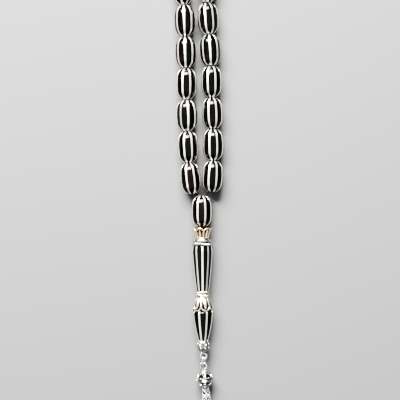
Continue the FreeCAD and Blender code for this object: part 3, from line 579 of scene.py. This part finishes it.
def petal_edge(t_valley, side, steps=14):
    """Half of a petal's edge as (share of the half sector, height), base to tip."""
    low = [(side, t_valley * i / 8) for i in range(8)]
    top = []
    for i in range(steps + 1):
        turn = math.pi / 2 * i / steps
        top.append((side * math.cos(turn), t_valley + (1 - t_valley) * math.sin(turn)))
    return low + top


def cup(name, node, slot, z_base, z_rim, wall, valley, rim_wire, leaf_half, roll):
    """Petals with raised rims and a leaf rib down the middle of each, over a wall darkened as patina and
    painted shade.
    """
    sector = 180 / PETALS
    height = z_rim - z_base

    def spot(centre, share, t, lift):
        t_on = min(max(t, 0), 1)
        return polar(centre + share * sector, wall(t_on) + lift, z_base + height * t)

    plates, rims, leaves = Shape(), Shape(), Shape()
    for k in range(PETALS):
        centre = roll + sector + k * 2 * sector
        edge = petal_edge(valley, 0.93)
        rows_out, rows_in = [], []
        for share, t in edge:
            across = [share * (2 * i / 10 - 1) for i in range(11)]
            # the petals' plates sit back under the rims and are darkened: patina and painted shade
            rows_out.append(plates.row([spot(centre, s, t * 0.985, -0.24) for s in across], 1.0))
            rows_in.append(plates.row([spot(centre, s, t * 0.985, -0.62) for s in across], 0.6))
        plates.skin(rows_out, round_rows=False)
        plates.skin(rows_in, round_rows=False)
        for low_o, high_o, low_i, high_i in zip(rows_out, rows_out[1:], rows_in, rows_in[1:]):
            for end in (0, -1):
                plates.faces.append((low_o[end], high_o[end], high_i[end], low_i[end]))
        plates.skin([rows_out[0], rows_in[0]], round_rows=False)
        path = [spot(centre, -s, t * 0.97, -rim_wire) for s, t in edge]
        path += [spot(centre, s, t * 0.97, -rim_wire) for s, t in reversed(edge[:-1])]
        rims.tube(path, rim_wire, 12)
        # the leaf: a pointed, domed rib with a keel
        rows = []
        steps = 20
        top = 0.90
        for i in range(steps + 1):
            t = 0.02 + (top - 0.02) * i / steps
            fat = leaf_half * math.sin(math.pi * min(1, (i / steps) ** 0.85)) ** 0.8 + 0.03
            ring = []
            for s in (-1, -0.8, -0.45, 0, 0.45, 0.8, 1):
                lift = -0.42 + 0.46 * (1 - s * s) * min(1, fat / leaf_half + 0.25)
                ring.append(spot(centre, s * fat / (math.radians(sector) * wall(t)), t, lift))
            # the leaf's edges are half darkened: patina and painted shade
            rows.append(leaves.row(ring, [0.5, 0, 0, 0, 0, 0, 0.5]))
        leaves.skin(rows, round_rows=False)
        under = [leaves.row([leaves.points[r[0]] * 0.97 + UP * leaves.points[r[0]].z * 0.03,
                             leaves.points[r[-1]] * 0.97 + UP * leaves.points[r[-1]].z * 0.03])
                 for r in rows]
        for (a, b), (c, d), low, high in zip(under, under[1:], rows, rows[1:]):
            leaves.faces += [(a, b, d, c), (low[0], a, c, high[0]), (low[-1], b, d, high[-1])]
        leaves.cap(rows[0] + under[0][::-1])
        leaves.cap(rows[-1] + under[-1][::-1])
    piece(f"{name}_plates", plates, IMAME, "imame", slot, [node])
    piece(f"{name}_rims", rims, IMAME, "imame", slot)
    piece(f"{name}_leaves", leaves, IMAME, "imame", slot)


CROWN_BASE, CROWN_RIM = -4.35, -0.02
CROWN_ROLL, CALYX_ROLL = 12, -12
cup("crown", "imame_crown", "pale_gold", CROWN_BASE + 0.1, CROWN_RIM, cup_radius(2.75, 3.9, -0.28),
    valley=0.70, rim_wire=0.32, leaf_half=0.74, roll=CROWN_ROLL)
CALYX_HEAD, CALYX_FOOT = -26.61, -32.03
cup("calyx", "imame_calyx", "silver_gold", CALYX_HEAD, CALYX_FOOT, cup_radius(2.45, 3.98, 0.30),
    valley=0.66, rim_wire=0.33, leaf_half=0.95, roll=CALYX_ROLL)

# the cups' necks: a ring at the crown's foot, and one at the calyx's head
for name, low, high, radius, slot in (
        ("crown_foot", CROWN_BASE, CROWN_BASE + 0.75, 2.72, "pale_gold"),
        ("calyx_head", CALYX_HEAD - 0.7, CALYX_HEAD, 2.48, "silver_gold")):
    ring = Shape()
    middle = (low + high) / 2
    # lightly darkened: patina and painted shade
    ring.lathe([(1.95, low)] + arc((radius - 0.2, low), (radius - 0.2, high), 0.24, 10)
               + [(1.95, high)], 72, 0.15)
    piece(name, ring, IMAME, "imame", slot)


# ---------------------------------------------------------------- twisted and braided rings
def rope_ring(shape, radius, height, offset, wire, turns, strands, hand):
    """Strands wound round a circle, like a rope bent into a ring."""
    steps = 16 * turns
    for strand in range(strands):
        path = []
        for i in range(steps):
            share = i / steps
            wind = hand * 2 * math.pi * (turns * share) + 2 * math.pi * strand / strands
            out = radius + offset * math.cos(wind)
            path.append(polar(360 * share, out, height + offset * math.sin(wind)))
        shape.tube(path, wire, 10, closed=True)


COLLAR_HEAD, COLLAR_FOOT = -4.38, -7.05
band = Shape()
band_foot = COLLAR_HEAD - 0.98
band.lathe([(2.0, band_foot), (3.6, band_foot)]
           + arc((3.72, band_foot + 0.04), (3.72, COLLAR_HEAD - 0.04), 0.14, 10)
           + [(3.55, COLLAR_HEAD), (2.0, COLLAR_HEAD)], 128)
piece("collar_band", band, IMAME, "imame", "old_silver", ["imame_collar_ring"])
collar_rope = Shape()
rope_height = (band_foot + COLLAR_FOOT) / 2
rope_ring(collar_rope, 3.22, rope_height, 0.36, 0.43, 9, 2, 1)
piece("collar_rope", collar_rope, IMAME, "imame", "old_silver")
# a fully darkened core behind the rope: patina and painted shade between the strands
collar_core = Shape()
collar_core.lathe([(2.0, COLLAR_FOOT + 0.1), (3.1, COLLAR_FOOT + 0.1), (3.45, rope_height - 0.2),
                   (3.45, rope_height + 0.2), (3.1, band_foot), (2.0, band_foot)], 96, 1.0)
piece("collar_core", collar_core, IMAME, "imame", "old_silver")

WAIST_HEAD, WAIST_FOOT = -24.31, -26.58
waist = Shape()
row_height = (WAIST_HEAD - WAIST_FOOT) / 2
for index, hand in enumerate((1, -1)):
    rope_ring(waist, 2.08, WAIST_FOOT + row_height * (index + 0.5), 0.25, 0.31, 8, 2, hand)
piece("waist_braid", waist, IMAME, "imame", "silver_gold", ["imame_waist_ring"])
# a fully darkened core behind the braid: patina and painted shade between the strands
waist_core = Shape()
waist_core.lathe([(1.8, WAIST_FOOT), (2.1, WAIST_FOOT), (2.25, WAIST_FOOT + 0.5),
                  (2.25, WAIST_HEAD - 0.5), (2.1, WAIST_HEAD), (1.8, WAIST_HEAD)], 72, 1.0)
piece("waist_core", waist_core, IMAME, "imame", "silver_gold")

# ---------------------------------------------------------------- tip ball
TIP_HEAD, TIP_FOOT = -43.36, -47.78
TIP_LOBES = 8
TIP_ROLL = 19.0
TIP_PLACE = IMAME @ Matrix.Rotation(math.radians(TIP_ROLL), 4, "Z")
tip_profile = (arc((1.35, TIP_FOOT), (2.5, (TIP_HEAD + TIP_FOOT) / 2), 0.3, 12)[:-1]
               + arc((2.5, (TIP_HEAD + TIP_FOOT) / 2), (1.9, TIP_HEAD), 0.28, 10))


def tip_radius(height):
    for (r1, z1), (r2, z2) in zip(tip_profile, tip_profile[1:]):
        if z1 <= height <= z2:
            return r1 + (r2 - r1) * (height - z1) / (z2 - z1)
    return tip_profile[0][0] if height < TIP_FOOT else tip_profile[-1][0]


tip = Shape()
tip_rows = []
TIP_SIDES = TIP_LOBES * 14
for radius, height in tip_profile:
    ring, shade_and_patina_dark = [], []
    for i in range(TIP_SIDES):
        wave = abs(math.cos(math.pi * i * TIP_LOBES / TIP_SIDES))
        ring.append(polar(360 * i / TIP_SIDES, radius * (0.92 + 0.09 * (1 - (1 - wave) ** 2)), height))
        # the grooves between the lobes are darkened: patina and painted shade
        shade_and_patina_dark.append(max(0.22, 0.98 - 1.5 * wave))
    tip_rows.append(tip.row(ring, shade_and_patina_dark))
tip.skin(tip_rows)
tip.cap(tip_rows[0], True)
tip.cap(tip_rows[-1])
piece("tip_ball", tip, TIP_PLACE, "imame", "old_silver", ["imame_tip_ball"])


def curl(turns, size, points, hand=1):
    """A flat spiral from its eye outwards, as (x, y)."""
    out = []
    for i in range(points + 1):
        share = i / points
        turn = 2 * math.pi * turns * share
        out.append((hand * size * (0.16 + 0.84 * share) * math.cos(turn),
                    size * (0.16 + 0.84 * share) * math.sin(turn)))
    return out


def scroll(size, hand=1):
    """An S of two curls, as (x, y), upright."""
    upper = [(x, y + size) for x, y in curl(0.95, size, 20, hand)]
    lower = [(-x, -y - size) for x, y in reversed(curl(0.95, size, 20, hand))]
    return upper + lower


tip_scrolls = Shape()
for k in range(TIP_LOBES):
    centre = 360 * k / TIP_LOBES
    path = []
    for x, y in scroll(0.74, 1 if k % 2 else -1):
        height = (TIP_HEAD + TIP_FOOT) / 2 + 0.15 + y
        radius = tip_radius(height)
        path.append(polar(centre + math.degrees(x / radius), radius - 0.06, height))
    tip_scrolls.tube(path, 0.17, 8)
for k in range(TIP_LOBES * 2):
    tip_scrolls.ball(polar(360 * (k + 0.5) / TIP_LOBES / 2, 1.90, TIP_HEAD - 0.24), 0.22)
piece("tip_scrolls", tip_scrolls, TIP_PLACE, "imame", "old_silver")


# ---------------------------------------------------------------- findings
def eye(shape, centre, radius, wire, sides=16, open_at=None):
    """A round eye in the XZ plane; open_at leaves a hairline where the wire's end meets it."""
    steps = 56
    gap = 0 if open_at is None else 5
    path = []
    for i in range(steps - gap + (1 if gap else 0)):
        turn = 2 * math.pi * (i + gap / 2) / steps + math.radians(open_at or 0)
        path.append(Vector((radius * math.cos(turn), 0, centre + radius * math.sin(turn))))
    shape.tube(path, wire, sides, closed=gap == 0, face=Vector((0, 1, 0)))


def rod(shape, low, high, radius, sides=24):
    soft = radius * 0.18
    shape.lathe([(radius - soft, low), (radius, low + soft), (radius, high - soft),
                 (radius - soft, high)], sides)


EYE_RADIUS, EYE_WIRE = 1.2, 0.43
TIP_EYE = -49.46
tip_eye = Shape()
eye(tip_eye, TIP_EYE, EYE_RADIUS, EYE_WIRE)
rod(tip_eye, TIP_EYE + EYE_RADIUS, TIP_FOOT + 1.1, 0.4)
tip_eye.lathe([(0.42, TIP_FOOT - 0.2), (0.62, TIP_FOOT - 0.16), (0.66, TIP_FOOT - 0.06),
               (0.5, TIP_FOOT - 0.02)], 32)
piece("tip_eye_pin_wire", tip_eye, IMAME, "tip_eye", "old_silver", ["tip_eye_pin"])


def oval(shape, centre, long, width, wire, across=Vector((1, 0, 0)), sides=12):
    """A chain link: half circles joined by straight sides, standing on Z."""
    bend, reach = width / 2, (long - width) / 2
    path = []
    for end in (1, -1):
        for i in range(15):
            turn = math.pi * i / 14 + (0 if end > 0 else math.pi)
            path.append(across * bend * math.cos(turn)
                        + UP * (centre + end * reach + bend * math.sin(turn)))
    shape.tube(path, wire, sides, closed=True, face=across.cross(UP))


LINK_REACH, LINK_WIDTH, LINK_WIRE, LINK_ROLL = 3.7, 2.5, 0.4, 72
link_top = Vector(JOINTS["link"]["pos_m"])
link_foot = Vector(JOINTS["tassel"]["pos_m"])
link_place = laid((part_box("tassel_link")[0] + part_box("tassel_link")[1]) / 2, link_top - link_foot)
link = Shape()
oval(link, 0, LINK_REACH, LINK_WIDTH, LINK_WIRE, sides=18)
piece("tassel_link_wire", link, link_place @ Matrix.Rotation(math.radians(LINK_ROLL), 4, "Z"), "link",
      "old_silver", ["tassel_link"])

# ---------------------------------------------------------------- tassel ball
BALL_HEAD, BALL_FOOT = -1.7, -7.9
BALL_RADIUS = 3.3
BALL_MIDDLE = (BALL_HEAD - 0.45 + BALL_FOOT) / 2
BALL_HALF = (BALL_HEAD - 0.45 - BALL_FOOT) / 2


def on_ball(angle, height, lift=0.0):
    """A point over the ball, height from its middle as a share of its half length."""
    share = min(1, abs(height))
    radius = 1.2 + (BALL_RADIUS - 1.2) * math.sqrt(max(0.0, 1 - share ** 2))
    return polar(angle, radius + lift, BALL_MIDDLE + BALL_HALF * height)


# a fully darkened liner under the wires, seen through the openwork: patina and painted shade
liner = Shape()
liner_rows = []
for j in range(25):
    height = 2 * j / 24 - 1
    liner_rows.append(liner.row([on_ball(i * 5, height * 0.97, -0.46) for i in range(72)], 1.0))
liner.skin(liner_rows)
liner.cap(liner_rows[0], True)
liner.cap(liner_rows[-1])
piece("tassel_ball_liner", liner, TASSEL, "ball", "old_silver", ["tassel_ball"])

filigree = Shape()
LOOPS = 6
BALL_ROLL = 30.0


def ball_wire(points, wire, closed=False):
    filigree.tube([on_ball(a, h, -wire) for a, h in points], wire, 8, closed=closed)


for k in range(LOOPS):
    centre = BALL_ROLL + 360 * k / LOOPS
    # a drop-shaped loop above the band, with a grain at its foot
    loop = []
    for i in range(28):
        turn = 2 * math.pi * i / 28
        loop.append((centre + 25.0 * math.cos(turn) * (1 - 0.35 * math.sin(turn)),
                     0.47 + 0.33 * math.sin(turn)))
    ball_wire(loop, 0.22, closed=True)
    filigree.ball(on_ball(centre, 0.24, -0.3), 0.22)
    # a hanging arc below the band, with a grain under its middle
    arch = [(centre + 27.0 * math.cos(math.pi * i / 20), -0.32 - 0.40 * math.sin(math.pi * i / 20))
            for i in range(21)]
    ball_wire(arch, 0.25)
    filigree.ball(on_ball(centre, -0.38, -0.3), 0.17)
    filigree.ball(on_ball(centre + 30, -0.66, -0.24), 0.27)
    filigree.ball(on_ball(centre + 30, 0.62, -0.24), 0.24)
    filigree.ball(on_ball(centre + 30, 0.28, -0.2), 0.18)
band_steps = 144
for level, wire in ((-0.11, 0.25), (-0.26, 0.25)):
    ball_wire([(360 * i / band_steps, level + 0.035 * math.cos(2 * math.pi * i / band_steps * LOOPS))
               for i in range(band_steps)], wire, closed=True)
# side loops that stand out of the band, two and two
for centre in (86, 94, 266, 274):
    side_loop = [on_ball(centre, -0.18 + 0.12 * math.sin(2 * math.pi * i / 18),
                         -0.28 + 0.26 * math.cos(2 * math.pi * i / 18)) for i in range(18)]
    filigree.tube(side_loop, 0.16, 8, closed=True)
for level, radius, wire in ((0.86, 1.95, 0.26), (-0.90, 1.62, 0.28)):
    ring_height = BALL_MIDDLE + BALL_HALF * level
    filigree.tube([polar(360 * i / 60, radius, ring_height) for i in range(60)], wire, 10, closed=True)
filigree.lathe([(0.5, BALL_HEAD - 0.5), (1.9, BALL_HEAD - 0.5)]
               + arc((1.92, BALL_HEAD - 0.44), (1.86, BALL_HEAD - 0.06), 0.06, 6)
               + [(1.7, BALL_HEAD), (0.5, BALL_HEAD)], 48)
piece("tassel_ball_filigree", filigree, TASSEL, "ball", "old_silver")

# ---------------------------------------------------------------- tassel cap
CAP_HEAD, CAP_FOOT = -8.05, -21.05
CAP_TOP, CAP_BASE = 1.3, 3.2
CAP_SIDES = 6


def on_cap(side, across, share, lift=0.0):
    """A point on one flat of the cap; across runs from -1 to 1 between its two edges."""
    corner = CAP_TOP + (CAP_BASE - CAP_TOP) * share
    half = math.pi / CAP_SIDES
    flat = corner * math.cos(half) + lift
    turn = math.radians(side * 360 / CAP_SIDES) + half
    out = Vector((math.sin(turn), -math.cos(turn), 0))
    right = Vector((math.cos(turn), math.sin(turn), 0))
    height = CAP_HEAD + (CAP_FOOT - CAP_HEAD) * share
    return out * flat + right * (across * corner * math.sin(half)) + UP * height


# the cap's wall under the relief is darkened: patina and painted shade
cap_wall = Shape()
rows = []
for share, lift in [(0.9, -0.5), (0.999, -0.5)] + [(1 - i / 20, -0.10) for i in range(21)]:
    ring, shade_and_patina_dark = [], []
    for side in range(CAP_SIDES):
        for i in range(6):
            ring.append(on_cap(side, 2 * i / 6 - 1, share, lift))
            shade_and_patina_dark.append(0.92)
    rows.append(cap_wall.row(ring, shade_and_patina_dark))
cap_wall.skin(rows)
cap_wall.cap(rows[-1])
piece("tassel_cap_wall", cap_wall, TASSEL, "cap", "old_silver", ["tassel_cap"])

relief = Shape()
for side in range(CAP_SIDES):
    # the rib along each corner, and the scrolls that climb each flat
    rib = [on_cap(side, -1, 0.01 + 0.97 * i / 24, -0.12) for i in range(25)]
    relief.tube(rib, [0.15 + 0.10 * i / 24 for i in range(25)], 8)
    for step in range(6):
        share = 0.10 + 0.155 * step
        corner = CAP_TOP + (CAP_BASE - CAP_TOP) * share
        size = corner * math.sin(math.pi / CAP_SIDES) * 0.52
        hand = 1 if (step + side) % 2 else -1
        wire = 0.12 + 0.06 * share
        path = []
        for x, y in scroll(size * 0.98, hand):
            path.append(on_cap(side, x / (corner * 0.5), share - y / (CAP_HEAD - CAP_FOOT), -0.05))
        relief.tube(path, wire, 8)
        for x in (-0.7, 0.7):
            relief.ball(on_cap(side, x, share + 0.075, -0.06), wire * 1.25, 0, 8, 6)
# beaded edge at the foot, and a collar at the head
for i in range(36):
    side, step = divmod(i, 6)
    relief.ball(on_cap(side, (2 * step + 1) / 6 - 1, 0.975, -0.02), 0.26, 0, 10, 7)
relief.tube([on_cap(side, 2 * i / 6 - 1, 0.945, -0.06) for side in range(CAP_SIDES) for i in range(6)],
            0.15, 8, closed=True)
relief.tube([polar(360 * i / 40, 1.05, CAP_HEAD - 0.22) for i in range(40)], 0.22, 8, closed=True)
piece("tassel_cap_relief", relief, TASSEL, "cap", "old_silver")

# ---------------------------------------------------------------- tassel pin, hanger and chains
HANGER = -22.10
HANGER_RADIUS, HANGER_WIRE = 1.9, 0.3
CHAINS = 5
pin = Shape()
eye(pin, 0, EYE_RADIUS, EYE_WIRE, open_at=-90)
rod(pin, HANGER - 0.95, -EYE_RADIUS, 0.4)
pin.lathe([(0.3, HANGER - 0.98), (0.47, HANGER - 0.86), (0.47, HANGER - 0.62), (0.3, HANGER - 0.5)], 24)
piece("tassel_eye_pin_wire", pin, TASSEL, "tassel", "old_silver", ["tassel_eye_pin"])
hanger = Shape()
hanger.tube([polar(360 * i / 60, HANGER_RADIUS, HANGER) for i in range(60)], HANGER_WIRE, 12, closed=True)
hanger.lathe([(0.44, HANGER - 0.45), (0.58, HANGER - 0.43), (0.65, HANGER - 0.3), (0.65, HANGER + 0.3),
              (0.58, HANGER + 0.43), (0.44, HANGER + 0.45)], 32)
for k in range(CHAINS):
    angle = 360 * k / CHAINS + 180 / CHAINS
    hanger.tube([polar(angle, 0.55 + (HANGER_RADIUS - 0.55) * i / 4, HANGER) for i in range(5)], 0.24, 10)
piece("chain_hanger_wheel", hanger, TASSEL, "tassel", "old_silver", ["chain_hanger"])

CHAIN_LONG, CHAIN_WIDTH, CHAIN_WIRE, CHAIN_PITCH = 2.7, 1.5, 0.25, 2.1
CHAIN_LINKS = 12
FIRST_END = 0.65
DROP_EYE = FIRST_END - CHAIN_PITCH * CHAIN_LINKS - CHAIN_WIDTH / 2
DROP_HEAD = DROP_EYE - CHAIN_WIDTH / 2 - CHAIN_WIRE / 2
DROP_FOOT = DROP_HEAD - 4.8

chain = Shape()
for i in range(CHAIN_LINKS):
    across = Vector((1, 0, 0)) if i % 2 == 0 else Vector((0, 1, 0))
    oval(chain, FIRST_END - CHAIN_LONG / 2 - CHAIN_PITCH * i, CHAIN_LONG, CHAIN_WIDTH, CHAIN_WIRE,
         across, 10)
eye(chain, DROP_EYE, CHAIN_WIDTH / 2, CHAIN_WIRE, 10)
drop_profile = (arc((0.06, DROP_FOOT), (1.24, DROP_FOOT + 1.3), 0.36, 10)[:-1]
                + arc((1.24, DROP_FOOT + 1.3), (0.42, DROP_HEAD - 0.1), 0.1, 12) + [(0.34, DROP_HEAD)])
chain.lathe(drop_profile, 40, 0.0,
            lambda a, r, z: 0.05 * r * (abs(math.cos(math.radians(a * 4))) - 0.6))
for height, radius, wire in ((DROP_FOOT + 1.32, 1.15, 0.15), (DROP_HEAD - 0.55, 0.50, 0.13)):
    chain.tube([polar(360 * i / 32, radius, height) for i in range(32)], wire, 8, closed=True)
chain_mesh = chain.mesh("chain")
for number in range(1, CHAINS + 1):
    node = f"tassel_chain_{number}"
    joint = JOINTS[f"chain_{number}"]
    hook = Vector(joint["pos_m"])
    tip_point = max((v.co for v in frame["nodes"][node].data.vertices), key=lambda p: (p - hook).length)
    down = (tip_point - hook).normalized()
    swing = Vector(joint["axis"])
    turn = Matrix((swing.cross(down), -swing, -down)).transposed()
    piece(f"{node}_links", chain_mesh, Matrix.Translation(hook) @ turn.to_4x4(), f"chain_{number}",
          "old_silver", [node])

# ---------------------------------------------------------------- thread
THREAD_STRANDS = 3
THREAD_LAY = 2.4
STRAND_RADIUS, STRAND_OFFSET = 0.165, 0.175
INSIDE = (BEAD_HALF - 1.2) * MM


def through(place, upwards, reach=INSIDE):
    """The two points where the thread is straight inside a bead."""
    sign = 1 if upwards else -1
    axis = place.to_3x3().col[2]
    return [place.translation - axis * reach * sign, place.translation + axis * reach * sign]


right_of_imame = IMAME.to_3x3().col[0]
axis_of_imame = IMAME.to_3x3().col[2]


def in_separator(side, height):
    return IMAME.translation + right_of_imame * side * MM + axis_of_imame * height * MM


RUN_SIDE = 0.6
LEFT_RUN = (-42.5, -20, 0, 9, 12.6)
RIGHT_RUN = (12.8, 9, 0, -20, -42.5)
route = [in_separator(-RUN_SIDE, height) for height in LEFT_RUN]
for number in range(1, BEADS + 1):
    route += through(bead_frames[number], number <= UP_STRAND)
    for marker, before in MARKER_AFTER.items():
        if number == before:
            route += through(turned_frame(f"marker_{marker}"), number <= UP_STRAND, MM)
route += [in_separator(RUN_SIDE, height) for height in RIGHT_RUN]

guide_data = bpy.data.curves.new("thread_route", "CURVE")
guide_data.dimensions = "3D"
guide_data.resolution_u = 10
spline = guide_data.splines.new("NURBS")
spline.points.add(len(route) - 1)
for point, spot in zip(spline.points, route):
    point.co = (*spot, 1)
spline.order_u = 3
spline.use_endpoint_u = True
guide = bpy.data.objects.new("thread_route", guide_data)
bpy.context.scene.collection.objects.link(guide)
sampled = bpy.data.meshes.new_from_object(guide)
line = [v.co / MM for v in sampled.vertices]
bpy.data.objects.remove(guide)
bpy.data.curves.remove(guide_data)

STEP = 0.2
even, carried = [line[0]], 0.0
for a, b in zip(line, line[1:]):
    length = (b - a).length
    while carried + STEP <= length:
        carried += STEP
        even.append(a + (b - a) * carried / length)
    carried -= length
strands = Shape()
for strand in range(THREAD_STRANDS):
    path = []
    for i, spot in enumerate(even):
        ahead = (even[min(i + 1, len(even) - 1)] - even[max(i - 1, 0)]).normalized()
        flat = ahead.cross(UP).normalized()
        rise = flat.cross(ahead)
        wind = 2 * math.pi * (i * STEP / THREAD_LAY + strand / THREAD_STRANDS)
        path.append(spot + (flat * math.cos(wind) + rise * math.sin(wind)) * STRAND_OFFSET)
    strands.tube(path, STRAND_RADIUS, 6)
piece("thread_strands", strands, Matrix.Identity(4), "string", "black_thread", ["thread"])
frame["nodes"]["thread_knot"].data.materials.clear()
frame["nodes"]["thread_knot"].data.materials.append(MATERIALS["black_thread"])
